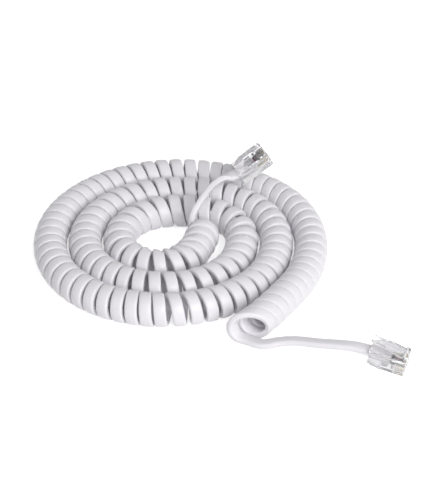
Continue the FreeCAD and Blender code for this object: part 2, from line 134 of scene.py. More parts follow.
def spiral_radius(angle):
    radius = INNER_RADIUS + ROUND_SPACING * (INNER_ANGLE - angle) / 360
    opened = OUTER_ANGLE + FLARE_ANGLE - angle
    if opened > 0:
        radius += FLARE_REACH * (opened / FLARE_ANGLE) ** 2
    off_swell = (angle - SWELL_ANGLE + 180) % 360 - 180
    if abs(off_swell) < SWELL_HALF_WIDTH:
        reach = SWELL_REACH + SWELL_GROWTH * angle / 360
        radius += reach * math.cos(math.radians(90 * off_swell / SWELL_HALF_WIDTH)) ** 2
    return radius


def rounds():
    """The spiral itself, from its outer end."""
    centre = SPIRAL_CENTRE + UP * COIL_DIAMETER / 2
    steps = round((INNER_ANGLE - OUTER_ANGLE) * STEPS_PER_DEGREE)
    angles = [OUTER_ANGLE + step / STEPS_PER_DEGREE for step in range(steps + 1)]
    return [centre + heading(angle) * spiral_radius(angle) for angle in angles]


def turned_in(points):
    """The bend that takes the inner end towards the centre."""
    way = (points[-1] - points[-2]).normalized()
    start = math.degrees(math.atan2(way.y, way.x))
    pivot = points[-1] + left_of(way) * INNER_TURN_RADIUS
    steps = round((INNER_HEADING - start) * STEPS_PER_DEGREE)
    headings = [start + (INNER_HEADING - start) * step / steps for step in range(1, steps + 1)]
    return [pivot + heading(degrees - 90) * INNER_TURN_RADIUS for degrees in headings]


def straight_end(bend_end):
    """The last run, which climbs on to the curls beside it."""
    steps = round(INNER_RUN / mm * STEPS_PER_MM)
    ahead = heading(INNER_HEADING) * INNER_RUN
    shares = [step / steps for step in range(1, steps + 1)]
    return [bend_end + ahead * share + UP * INNER_RISE * share ** 2 for share in shares]


def running_length(points):
    """How far each point is from the first, along the line."""
    lengths = [0.0]
    for before, after in zip(points, points[1:]):
        lengths.append(lengths[-1] + (after - before).length)
    return lengths


middle_line = rounds()
middle_line += turned_in(middle_line)
middle_line += straight_end(middle_line[-1])
middle_length = running_length(middle_line)
print("middle line:", len(middle_line), "points,", round(middle_length[-1] / mm, 1), "mm")

# %% [markdown]
# ## Where each curl stands
#
# Curls that are spaced by a rule look like a spring from a machine. On a cord that has been
# pulled and let go, they crowd in one place and gape in another. The marks below were counted in
# the picture: this many curls from the outer end, at so many millimetres along the middle line.
# Curls between two marks share the space between them.

# %% Places of the curls
CURL_MARKS = (
    (0, 1.1), (4, 19.1), (10, 42), (18, 80), (22, 98), (25, 111), (32, 144.5), (40, 182),
    (52, 236), (55, 248.4), (56, 254), (57, 258.9), (62, 281.5), (66, 299), (68, 308.5),
    (74, 340.5), (86, 400.5), (94, 436), (100, 465.5), (104, 484), (105, 489.5), (107, 502),
    (109, 513.5), (110, 518.5), (115, 545.5), (118, 560), (122, 578), (126, 593.5), (127.2, 597.2),
)
MARKED_CURLS = [curl for curl, _ in CURL_MARKS]
CURLS = MARKED_CURLS[-1]


def curl_distance(curl):
    """Distance of a curl along the middle line, in metres."""
    index = min(max(bisect(MARKED_CURLS, curl), 1), len(CURL_MARKS) - 1)
    (low, near), (high, far) = CURL_MARKS[index - 1], CURL_MARKS[index]
    return (near + (far - near) * (curl - low) / (high - low)) * mm


def middle_at(distance):
    """Point and forward direction at a distance along the middle line."""
    index = min(max(bisect(middle_length, distance), 1), len(middle_line) - 2)
    before, after = middle_length[index - 1], middle_length[index]
    share = (distance - before) / (after - before)
    point = middle_line[index - 1].lerp(middle_line[index], share)
    return point, (middle_line[index + 1] - middle_line[index - 1]).normalized()


print("curls:", CURLS, "mean spacing", round(middle_length[-1] / CURLS / mm, 2), "mm")

# %% [markdown]
# ## The curls
#
# Each curl is a ring of control points round the middle line. All rings tilt a little, the top
# ahead of the bottom. The first few also lean over sideways, as the open end of the coil does,
# and the very first is a little larger because nothing holds it.
#
# The cable is flat, so a place is not enough: each control point also has a partner nearer to the
# middle. The direction to the partner says which way the broad side faces, and the distance says
# how wide the cable is there. Where curls crowd, on the inside of a bend, there is less room than
# the cable is wide. There the soft jacket gives a little, and where that isn't enough the cable
# rolls over like a roof tile, just far enough to clear its neighbour. A real cord does the same,
# and it is why the creases look different inside and outside a bend.

# %% Sizes of the cable and its curls
CABLE_WIDTH = 3.9 * mm
SQUEEZED_WIDTH = 3.4 * mm
CABLE_THICKNESS = 2.1 * mm
EDGE_ROUND = 0.6 * mm
CURL_CLEARANCE = 0.06 * mm
POINTS_PER_CURL = 16
END_LEAN = 35
END_LEAN_CURLS = 4
RING_TILT = 4.5
END_GROWTH = 0.2 * mm
END_GROWTH_CURLS = 1.4
CURL_RADIUS = (COIL_DIAMETER - CABLE_THICKNESS) / 2
# A quadratic spline cuts inside its control points, so these stand out by this factor
SPLINE_SHRINK = (3 + math.cos(2 * math.pi / POINTS_PER_CURL)) / 4
PARTNER_DISTANCE = 4 * mm
EVENED_STEPS = 2
print("curl radius:", round(CURL_RADIUS / mm, 2), "mm,",
      "control points at", round(CURL_RADIUS / SPLINE_SHRINK / mm, 2))

# %% Helix of the curls


def end_lean(curl):
    """How far a curl near the outer end slopes forward on its right, as a tangent."""
    return math.tan(math.radians(END_LEAN)) * max(0.0, 1 - curl / END_LEAN_CURLS)


def ring_tilt(curl):
    """How far the top of a curl stands forward of its bottom, as a tangent."""
    return math.tan(math.radians(RING_TILT)) * min(1.0, curl / END_LEAN_CURLS)


def ring_point(curl):
    """A control point of the helix, with the outward and the forward direction there."""
    middle, way = middle_at(curl_distance(curl))
    angle = math.pi + 2 * math.pi * curl
    outward = UP * math.cos(angle) - left_of(way) * math.sin(angle)
    growth = END_GROWTH * max(0.0, 1 - curl / END_GROWTH_CURLS) ** 2
    radius = CURL_RADIUS + growth
    leaning = way * (end_lean(curl) * math.sin(angle) + ring_tilt(curl) * math.cos(angle))
    return middle + (outward + leaning) * radius / SPLINE_SHRINK + UP * growth, outward, way


def room_beside(rings, step):
    """Space along the coil from a control point to the nearer neighbour in the next curls."""
    point, _, way = rings[step]
    beside = (step - POINTS_PER_CURL, step + POINTS_PER_CURL)
    others = [rings[other][0] for other in beside if 0 <= other < len(rings)]
    return min(abs((other - point).dot(way)) for other in others)


def width_within(room):
    """How wide the cable is where neighbours are this far apart."""
    return min(CABLE_WIDTH, max(SQUEEZED_WIDTH, room - CURL_CLEARANCE))


def roll_needed(room):
    """How far the squeezed cable rolls so that neighbours this far apart just clear each other."""
    if room >= SQUEEZED_WIDTH:
        return 0.0
    flat = SQUEEZED_WIDTH - CABLE_THICKNESS
    cosine = (room ** 2 + flat ** 2 - CABLE_THICKNESS ** 2) / (2 * flat * room)
    if room * cosine > flat:
        return math.acos(max(-1.0, min(1.0, cosine)))
    return math.asin(min(1.0, CABLE_THICKNESS / room))


def evened(values):
    """Each value averaged with the few before and after it."""
    last = len(values) - 1
    near = range(-EVENED_STEPS, EVENED_STEPS + 1)

    def mean_at(place):
        return sum(values[min(max(place + step, 0), last)] for step in near) / len(near)

    return [mean_at(place) for place in range(last + 1)]


def half_height(side, facing):
    """How far the cable reaches below its middle, with these directions across and through it."""
    flat = abs(side.z) * (CABLE_WIDTH / 2 - EDGE_ROUND)
    return flat + abs(facing.z) * (CABLE_THICKNESS / 2 - EDGE_ROUND) + EDGE_ROUND


def helix_controls():
    """Control points of the curls and their partners, from the outer end to the inner end."""
    count = math.ceil(CURLS * POINTS_PER_CURL)
    rings = [ring_point(step / POINTS_PER_CURL) for step in range(count)]
    rooms = [room_beside(rings, step) for step in range(len(rings))]
    widths = evened([width_within(room) for room in rooms])
    rolls = evened([roll_needed(room) for room in rooms])
    points, partners = [], []
    for (point, outward, way), width, roll in zip(rings, widths, rolls):
        turn = Quaternion(way.cross(outward), -roll)
        facing = turn @ outward
        point.z = max(point.z, half_height(turn @ way, facing))
        points.append(point)
        partners.append(point - facing * PARTNER_DISTANCE * width / CABLE_WIDTH / SPLINE_SHRINK)
    return points, partners


helix_points, helix_partners = helix_controls()
print("helix:", len(helix_points), "control points")

# %% [markdown]
# ## The tails
#
# At both ends the cable runs on to its plug without curls. A rule can't know how these lie, so
# their points are chosen from the picture, and they repeat the tails of the solid model,
# from the plug to the coil. Beside each point stands the direction that the outer broad side
# faces. The front tail lies nearly flat. The rear one comes up on its edge, out of the coil's
# end, and turns flat on the way to its plug.

# %% Points of the tails
PLUG_ANGLES = {"front": (-20, 7, 0), "rear": (22.9, -28.7, 195.7)}
PLUG_ENTRY = {
    "front": SPIRAL_CENTRE + Vector((61.8, -56.45, 4.26)) * mm,
    "rear": SPIRAL_CENTRE + Vector((22.235, 25.8, 16.5)) * mm,
}
CABLE_LEVEL = 2.75 * mm
JACKET_END = 6.8 * mm
TAIL_LEAD = 2 * mm
TAILS = {
    "front": (
        ((55.76, -54.65, 4.75), (0, -0.10, -1)),
        ((51.16, -53.65, 4.5), (0, -0.18, -1)),
        ((45.56, -52.05, 3.7), (0, -0.20, -1)),
        ((39.16, -49.7, 3.1), (0, -0.20, -1)),
        ((32.96, -48.95, 1.8), (0, -0.16, -1)),
        ((29.2, -50.0, 1.25), (0, -0.08, -1)),
    ),
    "rear": (
        ((18.8, 25.0, 15.9), (-0.52, -0.08, 0.83)),
        ((16.1, 23.0, 15.9), (-0.71, 0.28, 0.64)),
        ((13.0, 18.6, 16.0), (-0.74, 0.35, 0.57)),
        ((10.66, 13.3, 15.7), (-0.76, 0.38, 0.53)),
        ((8.5, 9.1, 14.2), (-0.82, 0.40, 0.40)),
        ((7.2, 7.6, 12.0), (-0.94, 0.34, 0.05)),
        ((6.9, 6.7, 9.2), (-0.94, 0.34, -0.10)),
    ),
}


def plug_turn(side):
    yaw, pitch, roll = (math.radians(angle) for angle in PLUG_ANGLES[side])
    flat_turn = Matrix.Rotation(yaw, 3, "Z") @ Matrix.Rotation(pitch, 3, "Y")
    return flat_turn @ Matrix.Rotation(roll, 3, "X")


def plug_matrix(side):
    """Takes a place in the plug's own frame to its place in the model."""
    turn = plug_turn(side)
    return Matrix.Translation(PLUG_ENTRY[side] - turn @ UP * CABLE_LEVEL) @ turn.to_4x4()


def tail_controls(side):
    """Control points and partners from inside the plug to the coil."""
    along = plug_turn(side) @ Vector((1, 0, 0))
    facing = plug_turn(side) @ -UP
    entry = PLUG_ENTRY[side]
    places = [(entry + along * JACKET_END, facing), (entry - along * TAIL_LEAD, facing)]
    for point, face in TAILS[side]:
        places.append((SPIRAL_CENTRE + Vector(point) * mm, Vector(face).normalized()))
    points = [point for point, _ in places]
    partners = [point - face * PARTNER_DISTANCE for point, face in places]
    return points, partners


front_points, front_partners = tail_controls("front")
rear_points, rear_partners = tail_controls("rear")
print("tail points:", len(front_points), "front,", len(rear_points), "rear")

# %% [markdown]
# ## One smooth line
#
# The whole cable, from plug to plug, is one NURBS spline: a smooth curve that is drawn towards
# its control points without passing through them. A second spline with as many control points
# runs beside it, through the partners. Blender hands both back as plain points, and each point of
# the one lies beside the same point of the other. The order is set after the points are added,
# because before that it falls back to straight runs.

# %% The cable's two splines
LINE_STEPS = 2
QUADRATIC = 3


def evaluated_mesh(thing):
    """A new mesh of a thing as Blender shows it, with its modifiers."""
    bpy.context.view_layer.update()
    shown = thing.evaluated_get(bpy.context.evaluated_depsgraph_get())
    return bpy.data.meshes.new_from_object(shown)


def spline_points(name, controls):
    curve = bpy.data.curves.new(name, "CURVE")
    curve.dimensions = "3D"
    curve.resolution_u = LINE_STEPS
    spline = curve.splines.new("NURBS")
    spline.points.add(len(controls) - 1)
    for point, place in zip(spline.points, controls):
        point.co = (*place, 1)
    spline.order_u = QUADRATIC
    spline.use_endpoint_u = True
    carrier = bpy.data.objects.new(name, curve)
    scene.collection.objects.link(carrier)
    line = evaluated_mesh(carrier)
    points = [vertex.co.copy() for vertex in line.vertices]
    bpy.data.meshes.remove(line)
    bpy.data.objects.remove(carrier)
    return points


route = rear_points + helix_points[::-1] + front_points[::-1]
beside = rear_partners + helix_partners[::-1] + front_partners[::-1]
cable_line = spline_points("cable_route", route)
cable_beside = spline_points("cable_facing", beside)
cable_reach = running_length(cable_line)

# %% [markdown]
# ## The cable's skin
#
# The jacket is drawn over the four wires through a die, so it has one section: two broad sides
# with a slight crown, and round edges. A curve's own bevel could carry that section, but it would
# twist as it likes. Here a ring of points stands at each point of the line, turned and narrowed
# by its partner, and quads join the rings.
#
# A UV map runs round the section and along the cable, in millimetres, so that the finish can
# follow the way in which the jacket was drawn.

# %% Section of the cable
EDGE_STEPS = 3
CROWN = 0.07 * mm


def quarter_round(turn):
    """One round corner of the section, starting at this many quarter turns."""
    right, up = ((1, 1), (-1, 1), (-1, -1), (1, -1))[turn]
    across = right * (CABLE_WIDTH / 2 - EDGE_ROUND)
    through = up * (CABLE_THICKNESS / 2 - CROWN - EDGE_ROUND)
    angles = [math.pi / 2 * (turn + step / EDGE_STEPS) for step in range(EDGE_STEPS + 1)]
    return [(across + EDGE_ROUND * math.cos(angle), through + EDGE_ROUND * math.sin(angle))
            for angle in angles]


def cable_section():
    """Points round the section, across and through the cable, crowns between the corners."""
    crown = CABLE_THICKNESS / 2
    upper = quarter_round(0) + [(0, crown)] + quarter_round(1)
    lower = quarter_round(2) + [(0, -crown)] + quarter_round(3)
    return upper + lower


section = cable_section()
print("section:", len(section), "points")

# %% Mesh of the cable


def cable_mesh(line, partners):
    vertices = []
    last = len(line) - 1
    for index, point in enumerate(line):
        along = (line[min(index + 1, last)] - line[max(index - 1, 0)]).normalized()
        facing = point - partners[index]
        width_share = facing.length / PARTNER_DISTANCE
        facing = (facing - along * facing.dot(along)).normalized()
        side = facing.cross(along) * width_share
        vertices += [point + side * across + facing * through for across, through in section]
    count = len(section)
    faces = []
    for low in range(0, last * count, count):
        for place in range(count):
            after = (place + 1) % count
            faces.append((low + place, low + count + place, low + count + after, low + after))
    faces.append(tuple(range(count)))
    faces.append(tuple(reversed(range(last * count, (last + 1) * count))))
    mesh = bpy.data.meshes.new("curly_cable")
    mesh.from_pydata(vertices, [], faces)
    return mesh


def add_cable_uv(mesh, reach):
    """Millimetres round the section and millimetres along the cable."""
    count = len(section)
    closed = [Vector(place) for place in section + section[:1]]
    girth = running_length(closed)
    uv = mesh.uv_layers.new(name="along_cable")
    for polygon in mesh.polygons:
        places = [mesh.loops[loop].vertex_index % count for loop in polygon.loop_indices]
        wraps = 0 in places and count - 1 in places
        for loop, place in zip(polygon.loop_indices, places):
            ring = mesh.loops[loop].vertex_index // count
            round_place = count if wraps and place == 0 else place
            uv.data[loop].uv = (girth[round_place] / mm, reach[ring] / mm)


def add_piece(name, mesh):
    piece = bpy.data.objects.new(name, mesh)
    scene.collection.objects.link(piece)
    return piece


curly_mesh = cable_mesh(cable_line, cable_beside)
add_cable_uv(curly_mesh, cable_reach)
curly_mesh.shade_smooth()
curly_cable = add_piece("curly_cable", curly_mesh)
print("cable mesh:", 2 * len(curly_mesh.polygons), "triangles")

# %% [markdown]
# ## What the finishes share
#
# Two effects come back in several materials, so each is a node group, built once and placed with
# its own values.
#
# Moulded unevenness is the faint patchiness of plastic that has cooled in a mould, and of handled
# metal: a noise that spreads roughness between two values and gives a height for a bump.
#
# Drawn streaks are the hair-fine lines that a die leaves along a jacket or a wire: the same
# noise, pulled out along the cable by the UV map.

# %% Node groups
UNEVEN_DETAIL = 4
STREAK_DETAIL = 3
# Most of a noise lies between these two values
NOISE_LOW = 0.3
NOISE_HIGH = 0.7
# A Mix node has sockets of the same name for each kind of value, so its colours go by number
MIX_A, MIX_B, MIX_RESULT = 6, 7, 2


def colour_mix(nodes):
    mix = nodes.new("ShaderNodeMix")
    mix.data_type = "RGBA"
    return mix


def add_sockets(group, inputs, outputs):
    for name, kind, value in inputs:
        socket = group.interface.new_socket(name, in_out="INPUT", socket_type=kind)
        if value is not None:
            socket.default_value = value
    for name, kind in outputs:
        group.interface.new_socket(name, in_out="OUTPUT", socket_type=kind)
    return group.nodes.new("NodeGroupInput"), group.nodes.new("NodeGroupOutput")


def moulded_unevenness():
    group = bpy.data.node_groups.new("moulded_unevenness", "ShaderNodeTree")
    given, made = add_sockets(
        group,
        [("Vector", "NodeSocketVector", None), ("Scale", "NodeSocketFloat", 400.0),
         ("Low", "NodeSocketFloat", 0.3), ("High", "NodeSocketFloat", 0.5)],
        [("Roughness", "NodeSocketFloat"), ("Height", "NodeSocketFloat")])
    noise = group.nodes.new("ShaderNodeTexNoise")
    noise.inputs["Detail"].default_value = UNEVEN_DETAIL
    ranged = group.nodes.new("ShaderNodeMapRange")
    ranged.inputs["From Min"].default_value = NOISE_LOW
    ranged.inputs["From Max"].default_value = NOISE_HIGH
    group.links.new(given.outputs["Vector"], noise.inputs["Vector"])
    group.links.new(given.outputs["Scale"], noise.inputs["Scale"])
    group.links.new(noise.outputs["Fac"], ranged.inputs["Value"])
    group.links.new(given.outputs["Low"], ranged.inputs["To Min"])
    group.links.new(given.outputs["High"], ranged.inputs["To Max"])
    group.links.new(ranged.outputs["Result"], made.inputs["Roughness"])
    group.links.new(noise.outputs["Fac"], made.inputs["Height"])
    return group


def drawn_streaks():
    group = bpy.data.node_groups.new("drawn_streaks", "ShaderNodeTree")
    given, made = add_sockets(
        group,
        [("UV", "NodeSocketVector", None),
         ("Across", "NodeSocketFloat", 5.0), ("Along", "NodeSocketFloat", 0.05),
         ("Dark", "NodeSocketColor", (0.7, 0.7, 0.7, 1)),
         ("Light", "NodeSocketColor", (0.8, 0.8, 0.8, 1))],
        [("Color", "NodeSocketColor"), ("Height", "NodeSocketFloat")])
    pull = group.nodes.new("ShaderNodeCombineXYZ")
    stretched = group.nodes.new("ShaderNodeVectorMath")
    stretched.operation = "MULTIPLY"
    noise = group.nodes.new("ShaderNodeTexNoise")
    noise.inputs["Scale"].default_value = 1
    noise.inputs["Detail"].default_value = STREAK_DETAIL
    tint = colour_mix(group.nodes)
    group.links.new(given.outputs["Across"], pull.inputs["X"])
    group.links.new(given.outputs["Along"], pull.inputs["Y"])
    group.links.new(given.outputs["UV"], stretched.inputs[0])
    group.links.new(pull.outputs["Vector"], stretched.inputs[1])
    group.links.new(stretched.outputs["Vector"], noise.inputs["Vector"])
    group.links.new(noise.outputs["Fac"], tint.inputs["Factor"])
    group.links.new(given.outputs["Dark"], tint.inputs[MIX_A])
    group.links.new(given.outputs["Light"], tint.inputs[MIX_B])
    group.links.new(tint.outputs[MIX_RESULT], made.inputs["Color"])
    group.links.new(noise.outputs["Fac"], made.inputs["Height"])
    return group


unevenness = moulded_unevenness()
streaks = drawn_streaks()
print("node groups:", [group.name for group in (unevenness, streaks)])

# %% Helpers for a finish
UNEVEN_DEPTH = 0.05 * mm
STREAK_DEPTH = 0.03 * mm


def new_finish(name):
    """A material with its nodes, its links and its shader."""
    material = bpy.data.materials.new(name)
    material.use_nodes = True
    tree = material.node_tree
    return material, tree.nodes, tree.links, tree.nodes["Principled BSDF"]


def place_group(nodes, group, **values):
    node = nodes.new("ShaderNodeGroup")
    node.node_tree = group
    for name, value in values.items():
        node.inputs[name].default_value = value
    return node


def add_bump(nodes, links, height, shader, strength, depth, below=None):
    """A bump from a height, on top of another bump if there is one."""
    bump = nodes.new("ShaderNodeBump")
    bump.inputs["Strength"].default_value = strength
    bump.inputs["Distance"].default_value = depth
    links.new(height, bump.inputs["Height"])
    if below:
        links.new(below.outputs["Normal"], bump.inputs["Normal"])
    links.new(bump.outputs["Normal"], shader.inputs["Normal"])
    return bump


def add_unevenness(nodes, links, shader, scale, low, high, strength):
    """Patchy roughness and a slight bump, in the piece's own coordinates."""
    place = nodes.new("ShaderNodeTexCoord")
    uneven = place_group(nodes, unevenness, Scale=scale, Low=low, High=high)
    links.new(place.outputs["Object"], uneven.inputs["Vector"])
    links.new(uneven.outputs["Roughness"], shader.inputs["Roughness"])
    return add_bump(nodes, links, uneven.outputs["Height"], shader, strength, UNEVEN_DEPTH)


def add_streaks(nodes, links, shader, below, strength, **values):
    """Streaks along the cable in colour and height."""
    along = nodes.new("ShaderNodeUVMap")
    along.uv_map = "along_cable"
    drawn = place_group(nodes, streaks, **values)
    links.new(along.outputs["UV"], drawn.inputs["UV"])
    links.new(drawn.outputs["Color"], shader.inputs["Base Color"])
    add_bump(nodes, links, drawn.outputs["Height"], shader, strength, STREAK_DEPTH, below)
    return drawn


print("bump depths:", round(UNEVEN_DEPTH / mm, 2), "and", round(STREAK_DEPTH / mm, 2), "mm")

# %% [markdown]
# ## The white jacket
#
# The jacket is soft plastic with a touch of blue against yellowing, smooth but not polished, so a
# lamp shows in it as a broad soft shine. A plain white would do for one curl. Over a hundred
# curls it looks like plaster, so fine streaks run along the cable, and a slow mottling lies over
# them where hands have been. Light enters such plastic and comes out again close by, which
# softens the shade in the creases.

# %% Jacket finish
JACKET_WHITE = (0.86, 0.845, 0.885, 1)
JACKET_SHADE = (0.82, 0.805, 0.845, 1)
JACKET_HANDLED = (0.82, 0.80, 0.83, 1)
JACKET_GLOSS = 0.45
JACKET_SCATTER = 0.4
JACKET_DEPTH = 1.2 * mm


def add_mottling(nodes, links, shader, drawn, colour, scale, share):
    """Slow patches of another colour over the streaks."""
    place = nodes.new("ShaderNodeTexCoord")
    patches = place_group(nodes, unevenness, Scale=scale, Low=0.0, High=share)
    over = colour_mix(nodes)
    over.inputs[MIX_B].default_value = colour
    links.new(place.outputs["Object"], patches.inputs["Vector"])
    links.new(patches.outputs["Roughness"], over.inputs["Factor"])
    links.new(drawn.outputs["Color"], over.inputs[MIX_A])
    links.new(over.outputs[MIX_RESULT], shader.inputs["Base Color"])


def jacket_finish():
    material, nodes, links, shader = new_finish("white_jacket")
    fine = add_unevenness(nodes, links, shader, scale=1500, low=0.3, high=0.44, strength=0.06)
    drawn = add_streaks(nodes, links, shader, fine, strength=0.12, Across=4.0, Along=0.06,
                        Dark=JACKET_SHADE, Light=JACKET_WHITE)
    add_mottling(nodes, links, shader, drawn, JACKET_HANDLED, scale=60, share=0.5)
    shader.inputs["Specular IOR Level"].default_value = JACKET_GLOSS
    shader.inputs["Subsurface Weight"].default_value = JACKET_SCATTER
    shader.inputs["Subsurface Radius"].default_value = (1, 1, 1)
    shader.inputs["Subsurface Scale"].default_value = JACKET_DEPTH
    return material


curly_mesh.materials.append(jacket_finish())
print("jacket:", curly_mesh.materials[0].name)

# %% [markdown]
# ## The clear plug
#
# A modular plug is one small moulding of clear plastic, with a springy latch on one side, a
# window on the other and a row of slots in its nose. Clear plastic shows itself by its edges:
# they are never sharp, and each catches a line of light. So the solid's mesh is copied, its loose
# triangles are merged, flat faces are made whole again, and every edge gets a small round. The
# copy replaces the solid, which keeps its place and its hinge.

# %% Softened copies of the plug's solids
MERGE_DISTANCE = 0.0005 * mm
FLAT_WITHIN = math.radians(1)
SHARP_FROM = math.radians(30)
ROUND_SEGMENTS = 2


def finished_mesh(piece):
    """The piece's mesh with its modifiers applied and taken off."""
    mesh = evaluated_mesh(piece)
    piece.modifiers.clear()
    old = piece.data
    piece.data = mesh
    bpy.data.meshes.remove(old)
    return mesh


def round_edges(piece, name, width):
    """A small round on every sharp edge."""
    rounding = piece.modifiers.new(name, "BEVEL")
    rounding.width = width
    rounding.segments = ROUND_SEGMENTS
    rounding.limit_method = "ANGLE"
    rounding.angle_limit = SHARP_FROM


def softened(node, name, edge):
    """A copy of a solid's mesh, merged, with its edges rounded."""
    piece = add_piece(name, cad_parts[node].data.copy())
    piece.data.materials.clear()
    merge = piece.modifiers.new("merge", "WELD")
    merge.merge_threshold = MERGE_DISTANCE
    whole = piece.modifiers.new("whole_faces", "DECIMATE")
    whole.decimate_type = "DISSOLVE"
    whole.angle_limit = FLAT_WITHIN
    round_edges(piece, "soft_edges", edge)
    finished_mesh(piece)
    piece.data.name = name
    return piece


SIDES = ("front", "rear")
EDGES = {
    "housing": 0.12 * mm,
    "latch": 0.15 * mm,
    "jacket_anchor": 0.1 * mm,
    "wire_anchor": 0.08 * mm,
}
plug_pieces = {side: {} for side in SIDES}
for side in SIDES:
    for part, edge in EDGES.items():
        plug_pieces[side][part] = softened(f"{side}_{part}", f"{side}_plug_{part}", edge)
    print(side, {part: len(piece.data.polygons) for part, piece in plug_pieces[side].items()})

# %% [markdown]
# ## Finish of the clear plastic
#
# The shader lets light through and bends it, and everything around the plug is white, so the plug
# is nearly white too. What draws it is the rim of each face, where one looks along the plastic
# instead of through it. Layer Weight finds those rims, and there a grey is painted into the
# colour:
# painted shade that stands in for the dark lines that bent light leaves along clear edges. A
# small part of the light is scattered instead of passed on, because such plastic is never quite
# clear. The faint bump is the flow of the plastic in the mould.
#
# The two crimp bars are punched down out of the same plastic and sit deep in a window. Their
# finish is greyer: painted shade that stands in for the darkness of that window.

# %% Clear finish
CLEAR = (0.96, 0.955, 0.965, 1)
# The rim colour is painted shade, for the dark lines along the edges of clear plastic
CLEAR_RIM_PAINTED_SHADE = (0.50, 0.50, 0.53, 1)
CLEAR_IOR = 1.27
CLEARNESS = 0.86
RIM_SHADE_BLEND = 0.15
# The crimp bars' greyer face and rim colours are painted shade of the window they sit in
ANCHOR_PAINTED_SHADE = (0.76, 0.76, 0.78, 1)
ANCHOR_PAINTED_SHADE_RIM = (0.45, 0.45, 0.47, 1)


def clear_finish(name, face, edge):
    material, nodes, links, shader = new_finish(name)
    add_unevenness(nodes, links, shader, scale=700, low=0.08, high=0.16, strength=0.04)
    # Layer Weight picks out faces seen edge-on, and the edge colour paints shade there
    rim = nodes.new("ShaderNodeLayerWeight")
    rim.inputs["Blend"].default_value = RIM_SHADE_BLEND
    tint = colour_mix(nodes)
    tint.inputs[MIX_A].default_value = face
    tint.inputs[MIX_B].default_value = edge
    links.new(rim.outputs["Facing"], tint.inputs["Factor"])
    links.new(tint.outputs[MIX_RESULT], shader.inputs["Base Color"])
    shader.inputs["Transmission Weight"].default_value = CLEARNESS
    shader.inputs["IOR"].default_value = CLEAR_IOR
    return material


clear = clear_finish("clear_plug", CLEAR, CLEAR_RIM_PAINTED_SHADE)
crimped = clear_finish("crimped_plug", ANCHOR_PAINTED_SHADE, ANCHOR_PAINTED_SHADE_RIM)
for side in SIDES:
    for part, piece in plug_pieces[side].items():
        # The anchors take the greyer finish of painted window shade
        piece.data.materials.append(crimped if part.endswith("anchor") else clear)
print("clear pieces:", sum(len(pieces) for pieces in plug_pieces.values()))

# %% [markdown]
# ## The contacts
#
# Four gold-flashed blades stand in the slots of the nose, all alike, at an even pitch. Each is
# stamped from sheet: a crown that the socket's springs touch, rounded at both ends, and teeth at
# the other edge, which were pressed through the insulation into the wire. One blade is drawn as
# an outline and given its thickness. A Geometry Nodes tree sets it out in a row, because the row
# follows a rule, a count and a pitch.

# %% One contact blade
CONTACT_BACK = 8.9 * mm
CONTACT_NOSE = 11.4 * mm
CONTACT_CROWN = 0.55 * mm
CONTACT_TOP = 2.3 * mm
CONTACT_THICKNESS = 0.34 * mm
CONTACT_CHAMFER = 0.45 * mm
TOOTH_DEPTH = 0.55 * mm
CONTACT_EDGE = 0.06 * mm


def blade_outline():
    """The blade from the side, in the plug's own frame: crown below, teeth above."""
    back, nose = CONTACT_BACK, CONTACT_NOSE
    root = CONTACT_TOP - TOOTH_DEPTH
    third = (nose - back) / 3
    middle = (nose + back) / 2
    crown = [(back, CONTACT_CROWN + CONTACT_CHAMFER), (back + CONTACT_CHAMFER, CONTACT_CROWN),
             (nose - CONTACT_CHAMFER, CONTACT_CROWN), (nose, CONTACT_CROWN + CONTACT_CHAMFER)]
    teeth = [(nose, CONTACT_TOP), (nose - third, root), (middle, CONTACT_TOP),
             (back + third, root), (back, CONTACT_TOP)]
    return crown + teeth


def blade_piece(name):
    outline = blade_outline()
    count = len(outline)
    half = CONTACT_THICKNESS / 2
    vertices = [(x, y, z) for y in (-half, half) for x, z in outline]
    faces = [tuple(range(count)), tuple(reversed(range(count, 2 * count)))]
    for place in range(count):
        after = (place + 1) % count
        faces.append((place, place + count, after + count, after))
    mesh = bpy.data.meshes.new(name)
    mesh.from_pydata(vertices, [], faces)
    piece = add_piece(name, mesh)
    round_edges(piece, "stamped_edges", CONTACT_EDGE)
    return piece


print("blade outline:", len(blade_outline()), "points")

# %% Gold finish
GOLD = (0.74, 0.69, 0.58, 1)


def gold_finish():
    material, nodes, links, shader = new_finish("gold_contact")
    add_unevenness(nodes, links, shader, scale=2500, low=0.16, high=0.34, strength=0.1)
    shader.inputs["Base Color"].default_value = GOLD
    shader.inputs["Metallic"].default_value = 1
    return material


gold = gold_finish()
print("contacts:", gold.name)

# %% Geometry Nodes: a row at an even pitch
CONTACTS = 4
WIRE_PITCH = 1.02 * mm


